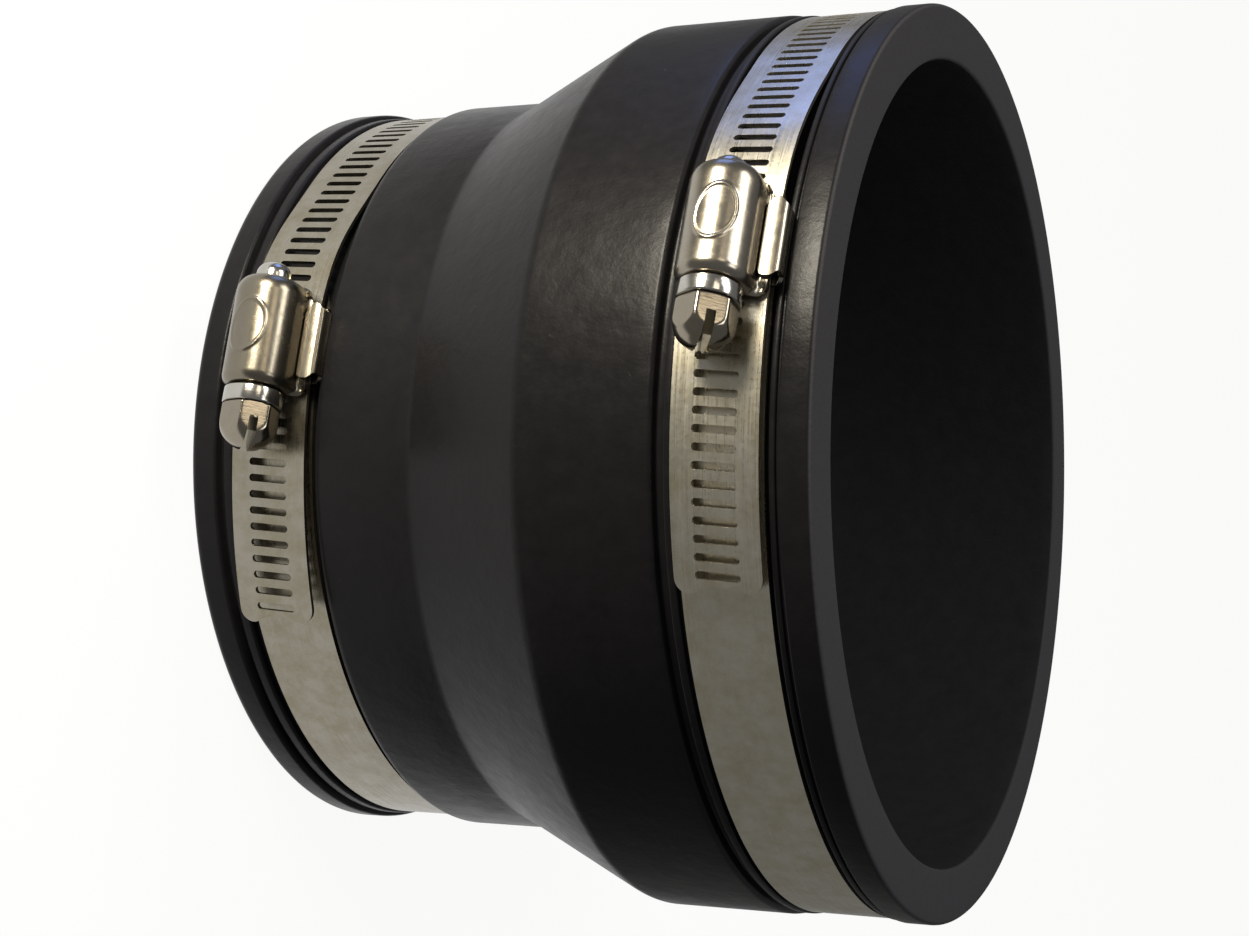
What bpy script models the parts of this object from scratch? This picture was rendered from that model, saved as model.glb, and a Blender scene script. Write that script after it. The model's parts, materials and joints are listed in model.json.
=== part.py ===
"""Rubber reducing coupling for two pipe sizes, with a worm-drive clamp on each end.

It stands on its small end: +Z runs along the bore to the large end. Metres.
"""

import math

import bmesh
import bpy
from mathutils import Matrix, Vector

MM = 0.001

# Rubber body
LENGTH = 109 * MM
LARGE_RADIUS = 75.5 * MM
LARGE_WALL = 9 * MM
LARGE_BORE = LARGE_RADIUS - LARGE_WALL
SMALL_RADIUS = 64.3 * MM
SMALL_WALL = 8.3 * MM
SMALL_BORE = SMALL_RADIUS - SMALL_WALL
LARGE_END_LENGTH = 45.4 * MM
SMALL_END_LENGTH = 40.2 * MM
CONE_TOP = LENGTH - LARGE_END_LENGTH
CONE_BOTTOM = SMALL_END_LENGTH
BORE_CONE_SHIFT = 1.5 * MM
CONE_TOP_FILLET = 4 * MM
CONE_FOOT_FILLET = 3 * MM
BORE_FILLET = 2 * MM
EDGE_ROUND = 0.7 * MM
SMALL_END_ROUND = 1.6 * MM
BODY_STEPS = 64

# Clamp bands and their seats in the rubber
BAND_WIDTH = 13.2 * MM
BAND_THICK = 0.65 * MM
LARGE_BAND_INSET = 13.5 * MM
SMALL_BAND_INSET = 15.6 * MM
LARGE_BAND_Z = LENGTH - LARGE_BAND_INSET
SMALL_BAND_Z = SMALL_BAND_INSET
LARGE_SEAT_DEPTH = 1.5 * MM
SMALL_SEAT_DEPTH = 2.1 * MM
LARGE_SEAT = LARGE_RADIUS - LARGE_SEAT_DEPTH
SMALL_SEAT = SMALL_RADIUS - SMALL_SEAT_DEPTH
BAND_FIT = 0.3 * MM
SEAT_SIDE = 0.7 * MM
OUTER_SEAT_SIDE = 1.2 * MM

# Ridges and grooves that keep each band in its seat
RIDGE_HIGH = 1.2 * MM
RIDGE_WIDE = 1.2 * MM
RIDGE_ROUND = 0.3 * MM
SHOULDER_GROOVE_DEEP = 0.2 * MM
SHOULDER_GROOVE_WIDE = 1.4 * MM
SHOULDER_ROUND = 1.2 * MM
LIP_RIDGE_WIDE = 0.9 * MM
LIP_GROOVE_DEEP = 0.8 * MM
LIP_GROOVE_WIDE = 0.4 * MM
SMALL_RIDGE_HIGH = 1.3 * MM
SMALL_RIDGE_WIDE = 2.1 * MM
SMALL_GROOVE_HIGH = 0.4 * MM
SMALL_GROOVE_WIDE = 0.5 * MM
SMALL_SHOULDER_ROUND = 1.8 * MM
GROOVE_SIDE = 0.2 * MM

# Slots punched through the band for the worm
SLOT_PITCH = 2.54 * MM
SLOT_LENGTH = 6.8 * MM
SLOT_WIDTH = 1.15 * MM
SLOT_LEAN = math.radians(-4.5)
FIRST_SLOT = 2.8 * MM
CUT_DEPTH = 0.9 * MM

# Band ends and the rise that lifts the band over the saddle
TAIL_LOBE = 0.9 * MM
TAIL_CORNER = 2.2 * MM
TAIL_STRAIGHT = 1.6 * MM
FIXED_END = 2.6 * MM
RISE_SPAN = math.radians(21)
RISE_END = math.radians(-10)
SPRING_START = math.radians(9)
BAND_STEP = math.radians(4)

# Clamp head: saddle, housing and worm screw
LAYER_GAP = 0.25 * MM
SADDLE_THICK = 0.7 * MM
SADDLE_LENGTH = 12.6 * MM
FOLD_AT = 6.5 * MM
FOLD_LIP = 5.7 * MM
FOLD_STEPS = 8
HOUSING_LENGTH = 18 * MM
HOUSING_WALL = 0.8 * MM
HOUSING_END_ROUND = 1 * MM
FLANGE_HALF = 6.9 * MM
FOOT_FILLET = 0.5 * MM
FOOT_HEIGHT = 1.2 * MM
RIM_THICK = 0.9 * MM
THREAD_TURNS = 5
THREAD_CREST = 0.8 * MM
THREAD_FOOT = 1.7 * MM
THREAD_STEPS = 14
TURNED_STEPS = 24
WORM_RADIUS = 3.9 * MM
WORM_ROOT = 2.9 * MM
WORM_FIT = 0.3 * MM
JOURNAL_RADIUS = 2.8 * MM
COLLAR_RADIUS = 4.07 * MM
COLLAR_GROOVE = 0.9 * MM
COLLAR_CHAMFER = 0.1 * MM
COLLAR_START = HOUSING_LENGTH / 2 + WORM_FIT
COLLAR_LENGTH = 2.6 * MM
HEX_START = COLLAR_START + COLLAR_LENGTH
HEX_LENGTH = 6.9 * MM
HEX_END = HEX_START + HEX_LENGTH
HEX_FLATS = 8 * MM
DRIVER_SLOT_WIDTH = 1.4 * MM
DRIVER_SLOT_DEPTH = 5 * MM
TIP_LENGTH = 2.3 * MM
TIP_END = HOUSING_LENGTH / 2 + TIP_LENGTH

# The coupling's axis stands this far to the side, so that the whole object is centred over the origin
HEADS_REACH = 9.8 * MM
AXIS = Vector((-HEADS_REACH / 2, 0.0, 0.0))


def material(name, colour, metallic, roughness):
    made = bpy.data.materials.new(name)
    made.use_nodes = True
    shader = made.node_tree.nodes["Principled BSDF"]
    shader.inputs["Base Color"].default_value = (*colour, 1.0)
    shader.inputs["Metallic"].default_value = metallic
    shader.inputs["Roughness"].default_value = roughness
    made.diffuse_color = (*colour, 1.0)
    return made


def rounded(corners):
    """The outline with each (x, y, radius) corner made round; a tiny radius gives one flat."""
    points = []
    for i, (x, y, radius) in enumerate(corners):
        here = Vector((x, y))
        before = Vector(corners[i - 1][:2]) - here
        after = Vector(corners[(i + 1) % len(corners)][:2]) - here
        if radius == 0 or before.length == 0 or after.length == 0:
            points.append(here)
            continue
        before.normalize()
        after.normalize()
        half = before.angle(after) / 2
        centre = here + (before + after).normalized() * (radius / math.sin(half))
        start = here + before * (radius / math.tan(half)) - centre
        end = here + after * (radius / math.tan(half)) - centre
        turn = start.angle_signed(end)
        per_arc = 2 if radius > 0.5 * MM else 1
        for step in range(per_arc + 1):
            angle = -turn * step / per_arc
            points.append(centre + Matrix.Rotation(angle, 2) @ start)
    return [(point.x, point.y) for point in points]


def object_from(name, mesh, helper=False):
    made = bpy.data.objects.new(name, mesh)
    (helpers if helper else parts).objects.link(made)
    if helper:
        made.hide_render = True
        made.display_type = "WIRE"
    return made


def prism(name, outline, half_depth, helper=False):
    """The closed outline in X and Y, extruded both ways along Z."""
    curve = bpy.data.curves.new(name + "_outline", "CURVE")
    curve.dimensions = "2D"
    curve.fill_mode = "BOTH"
    curve.extrude = half_depth
    spline = curve.splines.new("POLY")
    spline.points.add(len(outline) - 1)
    for point, (x, y) in zip(spline.points, outline):
        point.co = (x, y, 0.0, 1.0)
    spline.use_cyclic_u = True
    drawn = bpy.data.objects.new(name + "_curve", curve)
    helpers.objects.link(drawn)
    bpy.context.view_layer.update()
    seen = drawn.evaluated_get(bpy.context.evaluated_depsgraph_get())
    mesh = bpy.data.meshes.new_from_object(seen)
    bpy.data.objects.remove(drawn)
    work = bmesh.new()
    work.from_mesh(mesh)
    bmesh.ops.remove_doubles(work, verts=work.verts, dist=1e-6)
    bmesh.ops.recalc_face_normals(work, faces=work.faces)
    work.to_mesh(mesh)
    work.free()
    mesh.materials.clear()
    return object_from(name, mesh, helper)


def turned(name, profile, steps, helper=False):
    """The profile in radius and height, turned about Z; an open one starts and ends on the axis."""
    mesh = bpy.data.meshes.new(name)
    closed = profile[0][0] > 0
    edges = [(i, i + 1) for i in range(len(profile) - 1)]
    if closed:
        edges.append((len(profile) - 1, 0))
    mesh.from_pydata([(r, 0.0, z) for r, z in profile], edges, [])
    made = object_from(name, mesh, helper)
    screw = made.modifiers.new("Turn", "SCREW")
    screw.steps = screw.render_steps = steps
    screw.use_merge_vertices = True
    screw.merge_threshold = 0.00001
    screw.use_normal_calculate = True
    return made


def boolean(target, other, operation="DIFFERENCE"):
    cut = target.modifiers.new(other.name, "BOOLEAN")
    cut.operation = operation
    cut.solver = "EXACT"
    cut.object = other


def applied(target):
    """The object with its modifiers made into mesh."""
    bpy.context.view_layer.update()
    seen = target.evaluated_get(bpy.context.evaluated_depsgraph_get())
    mesh = bpy.data.meshes.new_from_object(seen)
    target.modifiers.clear()
    target.data = mesh
    return target


def joined_mesh(name, pieces):
    """One mesh of (mesh, matrix) copies."""
    work = bmesh.new()
    for mesh, matrix in pieces:
        copy = mesh.copy()
        copy.transform(matrix)
        work.from_mesh(copy)
        bpy.data.meshes.remove(copy)
    mesh = bpy.data.meshes.new(name)
    work.to_mesh(mesh)
    work.free()
    return mesh


def smooth(target, angle=35):
    target.data.polygons.foreach_set("use_smooth", [True] * len(target.data.polygons))
    target.data.set_sharp_from_angle(angle=math.radians(angle))


def rubber_profile():
    """Half section: lips, ridges beside each band seat, cone and bore."""
    high = LARGE_BAND_Z + BAND_WIDTH / 2 + SEAT_SIDE
    low = LARGE_BAND_Z - BAND_WIDTH / 2 - SEAT_SIDE
    lip_ridge = high + LIP_RIDGE_WIDE
    lip_groove = lip_ridge + GROOVE_SIDE / 2 + LIP_GROOVE_WIDE
    shoulder_ridge = low - RIDGE_WIDE
    shoulder_groove = shoulder_ridge - GROOVE_SIDE - SHOULDER_GROOVE_WIDE
    ridge = LARGE_SEAT + RIDGE_HIGH
    groove = LARGE_SEAT - SHOULDER_GROOVE_DEEP
    thin_groove = LARGE_RADIUS - LIP_GROOVE_DEEP
    small_high = SMALL_BAND_Z + BAND_WIDTH / 2 + SEAT_SIDE
    small_low = SMALL_BAND_Z - BAND_WIDTH / 2 - OUTER_SEAT_SIDE
    small_ridge = SMALL_SEAT + SMALL_RIDGE_HIGH
    small_ridge_end = small_low - SMALL_RIDGE_WIDE
    small_groove = SMALL_SEAT + SMALL_GROOVE_HIGH
    small_groove_end = small_ridge_end - GROOVE_SIDE / 2 - SMALL_GROOVE_WIDE
    corners = [
        (LARGE_BORE, LENGTH, EDGE_ROUND),
        (LARGE_RADIUS, LENGTH, EDGE_ROUND),
        (LARGE_RADIUS, lip_groove + GROOVE_SIDE / 2, RIDGE_ROUND),
        (thin_groove, lip_groove, 0),
        (thin_groove, lip_groove - LIP_GROOVE_WIDE, 0),
        (ridge, lip_ridge, RIDGE_ROUND),
        (ridge, high, RIDGE_ROUND),
        (LARGE_SEAT, high, 0),
        (LARGE_SEAT, low, 0),
        (ridge, low, RIDGE_ROUND),
        (ridge, shoulder_ridge, RIDGE_ROUND),
        (groove, shoulder_ridge - GROOVE_SIDE, 0),
        (groove, shoulder_groove, 0),
        (LARGE_RADIUS, shoulder_groove - GROOVE_SIDE, SHOULDER_ROUND),
        (LARGE_RADIUS, CONE_TOP, CONE_TOP_FILLET),
        (SMALL_RADIUS, CONE_BOTTOM, CONE_FOOT_FILLET),
        (SMALL_RADIUS, small_high, SMALL_SHOULDER_ROUND),
        (SMALL_SEAT, small_high, 0),
        (SMALL_SEAT, small_low, 0),
        (small_ridge, small_low, EDGE_ROUND),
        (small_ridge, small_ridge_end, EDGE_ROUND),
        (small_groove, small_ridge_end - GROOVE_SIDE / 2, 0),
        (small_groove, small_groove_end, 0),
        (SMALL_RADIUS, small_groove_end - GROOVE_SIDE, EDGE_ROUND),
        (SMALL_RADIUS, 0, SMALL_END_ROUND),
        (SMALL_BORE, 0, EDGE_ROUND),
        (SMALL_BORE, CONE_BOTTOM - BORE_CONE_SHIFT, BORE_FILLET),
        (LARGE_BORE, CONE_TOP - BORE_CONE_SHIFT, BORE_FILLET),
    ]
    return rounded(corners)


def round_ends(mesh, lowest):
    """Rounds the arch's edge at both ends of the housing, above the worm's axis."""
    work = bmesh.new()
    work.from_mesh(mesh)
    bmesh.ops.dissolve_limit(work, angle_limit=0.01, verts=work.verts, edges=work.edges)
    border = [
        edge
        for edge in work.edges
        if edge.calc_face_angle() > math.radians(60)
        and all(
            abs(corner.co.z) > 0.49 * HOUSING_LENGTH and corner.co.x > lowest - 0.01 * MM
            for corner in edge.verts
        )
    ]
    bmesh.ops.bevel(
        work, geom=border, offset=HOUSING_END_ROUND, segments=2, profile=0.5, affect="EDGES"
    )
    work.to_mesh(mesh)
    work.free()


def band_path(ring, high, start, tail_angle, spring):
    """Points (angle, radius) on the band's inner face, from its fixed end to the tail."""
    path = []
    turn = 2 * math.pi
    total = turn + tail_angle - start
    steps = round(total / BAND_STEP)
    for step in range(steps + 1):
        angle = start + total * step / steps
        lift = (angle - (turn + RISE_END - RISE_SPAN)) / RISE_SPAN
        lift = min(max(lift, 0), 1)
        radius = ring + (high - ring) * (1 - math.cos(math.pi * lift)) / 2
        past = max(angle - turn - SPRING_START, 0)
        radius += spring * (past / (tail_angle - SPRING_START)) ** 2
        path.append((angle, radius))
    return path


def half_round(radius, centre, steps):
    """Points from +Y over the outer side to -Y, round (centre, 0)."""
    angles = [math.pi * k / steps for k in range(steps + 1)]
    return [(centre + radius * math.sin(a), radius * math.cos(a)) for a in angles]


def fold_curve(radius, centre, steps):
    """Half circle that turns the saddle's edge up and over."""
    angles = [math.pi * (k / steps - 0.5) for k in range(steps + 1)]
    return [(centre + radius * math.sin(a), -FOLD_AT - radius * math.cos(a)) for a in angles]


def clamp(prefix, seat, height, head_angle, tail_angle, spring, slots, hex_turn):
    """Band, saddle, housing and screw of one clamp; X points out through the head's middle."""
    ring = seat + BAND_FIT
    saddle_floor = ring + BAND_THICK + LAYER_GAP
    saddle_top = saddle_floor + SADDLE_THICK
    high = math.hypot(saddle_top, SADDLE_LENGTH / 2) + LAYER_GAP
    flange = high + BAND_THICK + LAYER_GAP
    worm_axis = high + BAND_THICK + WORM_FIT + WORM_RADIUS
    centre = Matrix.Translation(AXIS + Vector((0, 0, height)))
    frame = centre @ Matrix.Rotation(head_angle, 4, "Z")

    # Band
    half_width = BAND_WIDTH / 2
    fixed_end = -math.atan((SADDLE_LENGTH / 2 + FIXED_END) / ring)
    path = band_path(ring, high, fixed_end, tail_angle, spring)
    inner = [(r * math.cos(a), r * math.sin(a)) for a, r in path]
    outer = [
        ((r + BAND_THICK) * math.cos(a), (r + BAND_THICK) * math.sin(a)) for a, r in path
    ]
    band = prism(prefix + "_band", inner + outer[::-1], half_width)
    lengths = [0.0]
    for (x0, y0), (x1, y1) in zip(inner, inner[1:]):
        lengths.append(lengths[-1] + math.hypot(x1 - x0, y1 - y0))

    def place(distance):
        """Matrix of the point this far back from the tail end: X out, Y along the band."""
        along = lengths[-1] - distance
        i = max(k for k in range(len(lengths) - 1) if lengths[k] <= along)
        share = (along - lengths[i]) / (lengths[i + 1] - lengths[i])
        angle = path[i][0] + share * (path[i + 1][0] - path[i][0])
        radius = path[i][1] + share * (path[i + 1][1] - path[i][1]) + BAND_THICK / 2
        return Matrix.Rotation(angle, 4, "Z") @ Matrix.Translation((radius, 0, 0))

    turn_flat = Matrix.Rotation(math.radians(90), 4, "Y")
    end = SLOT_WIDTH / 2
    reach = SLOT_LENGTH / 2 - end
    capsule = [
        (side * (reach + end * math.cos(a)), side * end * math.sin(a))
        for side in (1, -1)
        for a in (math.radians(d) for d in (-90, 0, 90))
    ]
    punch = prism(prefix + "_punch", capsule, CUT_DEPTH, helper=True)
    lean = Matrix.Rotation(SLOT_LEAN, 4, "X")
    pieces = [
        (punch.data, place(FIRST_SLOT + k * SLOT_PITCH) @ lean @ turn_flat)
        for k in range(slots)
    ]
    far = half_width + BAND_WIDTH / 3
    crest = half_width - TAIL_CORNER
    lobed_half = [
        (far, BAND_WIDTH / 3),
        (far, -TAIL_CORNER),
        (half_width, -TAIL_CORNER),
        (half_width - 0.3 * TAIL_CORNER, -0.3 * TAIL_CORNER),
        (crest, 0),
        (crest - 0.6 * (crest - TAIL_STRAIGHT), -0.3 * TAIL_LOBE),
        (TAIL_STRAIGHT, -TAIL_LOBE),
    ]
    trim = lobed_half + [(-x, y) for x, y in lobed_half[::-1]]
    end_cut = prism(prefix + "_end_cut", trim, CUT_DEPTH, helper=True)
    pieces.append((end_cut.data, place(BAND_FIT) @ turn_flat))
    cutter = object_from(
        prefix + "_band_cutter", joined_mesh(prefix + "_band_cutter", pieces), helper=True
    )
    boolean(band, cutter)
    applied(band)
    band.matrix_world = frame

    # Saddle, folded up and over on both sides
    fold_centre = (saddle_floor + flange + HOUSING_WALL + LAYER_GAP + SADDLE_THICK) / 2
    fold_outer = fold_centre - saddle_floor
    fold_inner = fold_outer - SADDLE_THICK
    outer_fold = fold_curve(fold_outer, fold_centre, FOLD_STEPS)
    inner_fold = fold_curve(fold_inner, fold_centre, FOLD_STEPS)
    lip = [(fold_centre + fold_outer, -FOLD_LIP), (fold_centre + fold_inner, -FOLD_LIP)]
    right = outer_fold + lip + inner_fold[::-1]
    left = [(x, -y) for x, y in right]
    saddle = prism(prefix + "_saddle", right + left[::-1], SADDLE_LENGTH / 2)
    saddle.data.transform(Matrix.Rotation(math.radians(90), 4, "X"))
    saddle.matrix_world = frame

    # Housing: flanged arch over the worm, with an inward rim at each end
    bore = WORM_RADIUS + WORM_FIT
    crown = bore + HOUSING_WALL
    arch = half_round(crown, worm_axis, 16)
    foot = rounded(
        [
            (flange + HOUSING_WALL + FOOT_HEIGHT, -crown, 0),
            (flange + HOUSING_WALL, -crown, FOOT_FILLET),
            (flange + HOUSING_WALL, -FLANGE_HALF, 0),
            (flange, -FLANGE_HALF, 0),
            (flange, 0, 0),
        ]
    )[1:-1]
    outline = arch + foot + [(x, -y) for x, y in foot[::-1]]
    housing = prism(prefix + "_housing", outline, HOUSING_LENGTH / 2)
    round_ends(housing.data, worm_axis)
    open_below = flange - HOUSING_WALL
    cavity = half_round(bore, worm_axis, 12) + [(open_below, -bore), (open_below, bore)]
    hollow = prism(prefix + "_hollow", cavity, HOUSING_LENGTH / 2 - RIM_THICK, helper=True)
    hole = JOURNAL_RADIUS + WORM_FIT
    passage = half_round(hole, worm_axis, 12) + [(open_below, -hole), (open_below, hole)]
    through = prism(prefix + "_through", passage, HOUSING_LENGTH, helper=True)
    boolean(housing, hollow)
    boolean(housing, through)
    applied(housing)
    housing.data.transform(Matrix.Rotation(math.radians(90), 4, "X"))
    housing.matrix_world = frame

    # Worm screw: tip, thread, journals, collar and slotted hexagon head
    worm_end = HOUSING_LENGTH / 2 - RIM_THICK - WORM_FIT
    shaft = turned(
        prefix + "_screw",
        [
            (0, HEX_START + COLLAR_GROOVE),
            (COLLAR_RADIUS - COLLAR_GROOVE, HEX_START + COLLAR_GROOVE),
            (COLLAR_RADIUS - COLLAR_GROOVE, HEX_START - COLLAR_CHAMFER),
            (COLLAR_RADIUS, HEX_START - 2 * COLLAR_CHAMFER),
            (COLLAR_RADIUS, COLLAR_START + COLLAR_CHAMFER),
            (COLLAR_RADIUS - COLLAR_CHAMFER, COLLAR_START),
            (JOURNAL_RADIUS, COLLAR_START),
            (JOURNAL_RADIUS, worm_end),
            (WORM_ROOT, worm_end),
            (WORM_ROOT, -worm_end),
            (JOURNAL_RADIUS, -worm_end),
            (JOURNAL_RADIUS, -TIP_END + 0.9 * MM),
            (0.82 * JOURNAL_RADIUS, -TIP_END + 0.3 * MM),
            (0.45 * JOURNAL_RADIUS, -TIP_END + 0.05 * MM),
            (0, -TIP_END),
        ],
        TURNED_STEPS,
    )
    applied(shaft)
    thread = thread_helper(prefix + "_thread")
    corner = HEX_FLATS / 2 / math.cos(math.radians(30))
    hexagon = [
        (corner * math.cos(math.radians(60 * k + 30)), corner * math.sin(math.radians(60 * k + 30)))
        for k in range(6)
    ]
    head = prism(prefix + "_head", hexagon, (HEX_END - HEX_START) / 2, helper=True)
    head.data.transform(Matrix.Translation((0, 0, (HEX_START + HEX_END) / 2)))
    dome = turned(
        prefix + "_dome",
        [
            (0, HEX_END),
            (0.5 * corner, HEX_END - 0.3 * MM),
            (0.78 * corner, HEX_END - 0.8 * MM),
            (0.93 * corner, HEX_END - 1.5 * MM),
            (1.06 * corner, HEX_END - 2.6 * MM),
            (1.06 * corner, HEX_START + 1 * MM),
            (0.9 * corner, HEX_START),
            (0, HEX_START),
        ],
        TURNED_STEPS,
        helper=True,
    )
    applied(dome)
    boolean(head, dome, "INTERSECT")
    applied(head)
    bpy.ops.mesh.primitive_cube_add(size=1)
    driver = bpy.context.active_object
    driver.name = prefix + "_driver_slot"
    driver.data.transform(
        Matrix.Translation((0, 0, HEX_END))
        @ Matrix.Diagonal((4 * HEX_FLATS, DRIVER_SLOT_WIDTH, 2 * DRIVER_SLOT_DEPTH, 1))
    )
    for collection in list(driver.users_collection):
        collection.objects.unlink(driver)
    helpers.objects.link(driver)
    driver.hide_render = True
    driver.display_type = "WIRE"
    boolean(shaft, thread, "UNION")
    boolean(shaft, head, "UNION")
    boolean(shaft, driver)
    applied(shaft)
    spin = Matrix.Rotation(hex_turn, 4, "Z")
    shaft.data.transform(spin)
    # The screw's own Z lies along the band, its X points outwards
    along = Matrix(((1, 0, 0, 0), (0, 0, 1, 0), (0, -1, 0, 0), (0, 0, 0, 1)))
    shaft.matrix_world = frame @ Matrix.Translation((worm_axis, 0, 0)) @ along

    looks = (
        (band, "rolled stainless strip", (0.62, 0.60, 0.56), 0.28),
        (saddle, "pressed stainless plate", (0.66, 0.64, 0.60), 0.34),
        (housing, "tumbled stainless pressing", (0.66, 0.64, 0.60), 0.34),
        (shaft, "bright plated steel", (0.70, 0.69, 0.66), 0.25),
    )
    for piece, look, colour, roughness in looks:
        piece.data.materials.append(material(f"{prefix} {look}", colour, 1.0, roughness))
        smooth(piece)


def thread_helper(name):
    """Helical ridge of trapezium section along Z, sunk a little into the root."""
    start = -THREAD_TURNS * SLOT_PITCH / 2
    sunk = WORM_ROOT - WORM_FIT
    section = [
        (sunk, 0.0, start + THREAD_FOOT / 2),
        (WORM_RADIUS, 0.0, start + THREAD_CREST / 2),
        (WORM_RADIUS, 0.0, start - THREAD_CREST / 2),
        (sunk, 0.0, start - THREAD_FOOT / 2),
    ]
    mesh = bpy.data.meshes.new(name)
    mesh.from_pydata(section, [(0, 1), (1, 2), (2, 3), (3, 0)], [])
    made = object_from(name, mesh, helper=True)
    screw = made.modifiers.new("Thread", "SCREW")
    screw.steps = screw.render_steps = THREAD_STEPS
    screw.iterations = THREAD_TURNS
    screw.screw_offset = SLOT_PITCH
    applied(made)
    work = bmesh.new()
    work.from_mesh(made.data)
    bmesh.ops.holes_fill(work, edges=work.edges, sides=4)
    bmesh.ops.recalc_face_normals(work, faces=work.faces)
    work.to_mesh(made.data)
    work.free()
    return made


for old in list(bpy.data.objects):
    bpy.data.objects.remove(old)
parts = bpy.data.collections.new("pipe_coupling")
helpers = bpy.data.collections.new("cutters")
for collection in (parts, helpers):
    bpy.context.scene.collection.children.link(collection)
helpers.hide_render = True

body = turned("rubber_body", rubber_profile(), BODY_STEPS)
applied(body)
body.location = AXIS
body.data.materials.append(material("black moulded rubber", (0.02, 0.02, 0.022), 0.0, 0.45))
smooth(body)

clamp(
    "large",
    LARGE_SEAT,
    LARGE_BAND_Z,
    head_angle=math.radians(-23.7),
    tail_angle=math.radians(37.5),
    spring=0.1 * MM,
    slots=52,
    hex_turn=math.radians(-34),
)
clamp(
    "small",
    SMALL_SEAT,
    SMALL_BAND_Z,
    head_angle=math.radians(-17),
    tail_angle=math.radians(39),
    spring=2 * MM,
    slots=44,
    hex_turn=math.radians(-43.5),
)
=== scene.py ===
"""Flexible rubber reducing coupling with a worm-drive clamp on each end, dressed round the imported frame.

The coupling stands on its small end at z = 0. The pieces' sizes are in millimetres and become
metres where a mesh is made; the camera, the floor and the lamps are placed in metres.
"""

import json

import bmesh
import bpy
import numpy as np
from mathutils import Matrix, Vector


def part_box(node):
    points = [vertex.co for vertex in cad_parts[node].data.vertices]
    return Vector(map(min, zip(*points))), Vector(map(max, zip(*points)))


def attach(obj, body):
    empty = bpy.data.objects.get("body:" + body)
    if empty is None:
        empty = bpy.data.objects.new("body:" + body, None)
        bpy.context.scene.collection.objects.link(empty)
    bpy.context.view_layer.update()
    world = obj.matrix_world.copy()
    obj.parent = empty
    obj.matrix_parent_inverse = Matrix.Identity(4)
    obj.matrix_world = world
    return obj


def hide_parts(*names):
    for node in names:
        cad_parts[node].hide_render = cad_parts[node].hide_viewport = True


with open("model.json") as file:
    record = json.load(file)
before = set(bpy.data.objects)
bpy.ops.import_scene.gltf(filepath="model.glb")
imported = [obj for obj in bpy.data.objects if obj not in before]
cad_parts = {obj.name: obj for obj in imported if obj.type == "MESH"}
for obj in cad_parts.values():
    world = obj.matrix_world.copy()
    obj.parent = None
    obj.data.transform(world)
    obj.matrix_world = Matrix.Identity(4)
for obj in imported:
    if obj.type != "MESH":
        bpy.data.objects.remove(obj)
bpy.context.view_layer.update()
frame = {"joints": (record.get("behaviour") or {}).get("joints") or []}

# The view: a camera to the +X side of the clamp heads, looking 24 degrees down along the bore and
# rolled so that the bore lies across the picture, as a coupling lies on a bench.
PICTURE_WIDE = 1249
FOCAL_PIXELS = 2250
EYE = (0.359831, 0.000782, 0.210709)
LOOK = (-0.912905, -0.000712, -0.408171)
PICTURE_UP = (0.0, -0.999998, 0.001745)
lens = bpy.data.cameras.new("bench_camera")
lens.sensor_width = 36
lens.lens = 36 * FOCAL_PIXELS / PICTURE_WIDE
lens.clip_start = 0.01
camera = bpy.data.objects.new("bench_camera", lens)
backward = -Vector(LOOK).normalized()
sideways = Vector(PICTURE_UP).cross(backward).normalized()
camera.matrix_world = Matrix.Translation(EYE) @ Matrix(
    (sideways, backward.cross(sideways), backward)
).transposed().to_4x4()
bpy.context.scene.collection.objects.link(camera)
bpy.context.scene.camera = camera
bpy.context.scene.view_settings.view_transform = "Standard"


def to_linear(code):
    """Linear colour of an sRGB hex code: a straight foot below 0.04045 and a 2.4 power above it."""
    value = np.array([int(code[i : i + 2], 16) for i in (1, 3, 5)]) / 255
    straight, curved = value / 12.92, ((value + 0.055) / 1.055) ** 2.4
    return (*np.where(value <= 0.04045, straight, curved).tolist(), 1.0)


def add_node(tree, kind, inputs=None, **settings):
    """One shader node with its settings; inputs maps a socket to a value or to another node's output."""
    made = tree.nodes.new("ShaderNode" + kind)
    for key, value in settings.items():
        setattr(made, key, value)
    for key, value in (inputs or {}).items():
        if isinstance(value, bpy.types.NodeSocket):
            tree.links.new(value, made.inputs[key])
        else:
            made.inputs[key].default_value = value
    return made


# The floor: matt white paper that goes grey beyond the picture, so that the steel has something
# darker to reflect. The white is its own colour for every ray that sees it, and shadows stay on
# it. The white ends between the coupling and the camera, and on both sides, wider at the back.
FLOOR_SIZE = 12.0
PAPER, PAPER_FAR, PAPER_IN_SHADE = "#F8F8F7", "#7C7C7A", "#484848"
WHITE_AHEAD, WHITE_BESIDE, WHITE_WIDENS, FADE = 0.108, 0.092, 0.195, 0.05
paper = bpy.data.materials.new("matt_white_paper")
paper.use_nodes = True
tree = paper.node_tree
tree.nodes.clear()
place = add_node(tree, "NewGeometry").outputs["Position"]
across = add_node(tree, "SeparateXYZ", {0: place})
ahead = add_node(tree, "Math", {0: across.outputs["X"], 1: WHITE_AHEAD}, operation="SUBTRACT")
width = add_node(tree, "Math", {0: across.outputs["Y"]}, operation="ABSOLUTE")
spread = add_node(
    tree,
    "Math",
    {0: across.outputs["X"], 1: WHITE_WIDENS, 2: width.outputs[0]},
    operation="MULTIPLY_ADD",
)
beside = add_node(tree, "Math", {0: spread.outputs[0], 1: WHITE_BESIDE}, operation="SUBTRACT")
outside = add_node(tree, "Math", {0: ahead.outputs[0], 1: beside.outputs[0]}, operation="MAXIMUM")
fade = add_node(
    tree,
    "MapRange",
    {"Value": outside.outputs[0], "From Min": 0.0, "From Max": FADE, "To Min": 0.0, "To Max": 1.0},
    interpolation_type="SMOOTHSTEP",
)
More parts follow.
